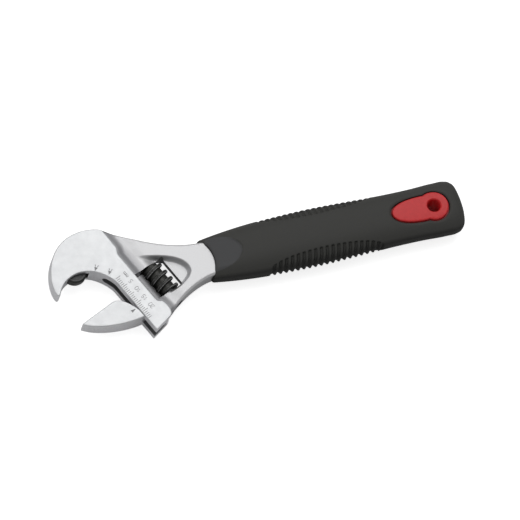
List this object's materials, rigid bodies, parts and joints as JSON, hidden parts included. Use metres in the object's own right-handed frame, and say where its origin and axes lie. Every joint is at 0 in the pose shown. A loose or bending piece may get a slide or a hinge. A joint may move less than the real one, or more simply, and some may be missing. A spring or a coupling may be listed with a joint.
{
  "type": "adjustable wrench",
  "caption": "Adjustable wrench: curved hook jaw with a round grip cam, lower jaw slid by a worm, and a moulded two-part grip with a hanging hole.",
  "frame": {"origin": "axis of the hanging hole at the end of the handle, at mid-thickness", "axes": "+X along the handle, away from the head; +Y towards the back of the hook; +Z out of the face with the scale, along the hanging hole"},
  "size_m": [0.1997, 0.0559, 0.0172],
  "materials": {
    "forged_steel": "satin, fine blasted, with bright edges",
    "black_steel": "black oxide, lightly oiled",
    "spring_steel": "drawn wire",
    "red_plastic": "satin moulded",
    "soft_grip": "fine matt texture"
  },
  "bodies": {
    "wrench": {"wrench_body": "forged_steel", "worm_pin": "black_steel", "worm_spring": "spring_steel", "cam_pin": "spring_steel", "cam_spring": "spring_steel", "grip_core": "red_plastic", "grip_cover": "soft_grip"},
    "jaw": {"movable_jaw": "forged_steel"},
    "worm": {"worm": "black_steel"},
    "cam": {"grip_cam": "black_steel"}
  },
  "joints": [
    {"name": "jaw_slide", "type": "slide", "parent": "wrench", "child": "jaw", "axis": [0.3827, -0.9239, 0], "range_m": [-0.0169, 0.007]},
    {"name": "worm_turn", "type": "hinge", "parent": "wrench", "child": "worm", "pos_m": [-0.13497, -0.0046, 0], "axis": [0.3827, -0.9239, 0], "range_deg": [-640, 1530]},
    {"name": "cam_pivot", "type": "hinge", "parent": "wrench", "child": "cam", "pos_m": [-0.17292, 0.00966, 0], "axis": [0, 0, 1], "range_deg": [0, 30], "stiffness_Nm_per_rad": 0.01, "springref_deg": -34.38, "deforming": ["cam_spring"]}
  ],
  "couplings": [
    {"joint": "worm_turn", "follows": "jaw_slide", "rad_per_m": -1570.8}
  ]
}
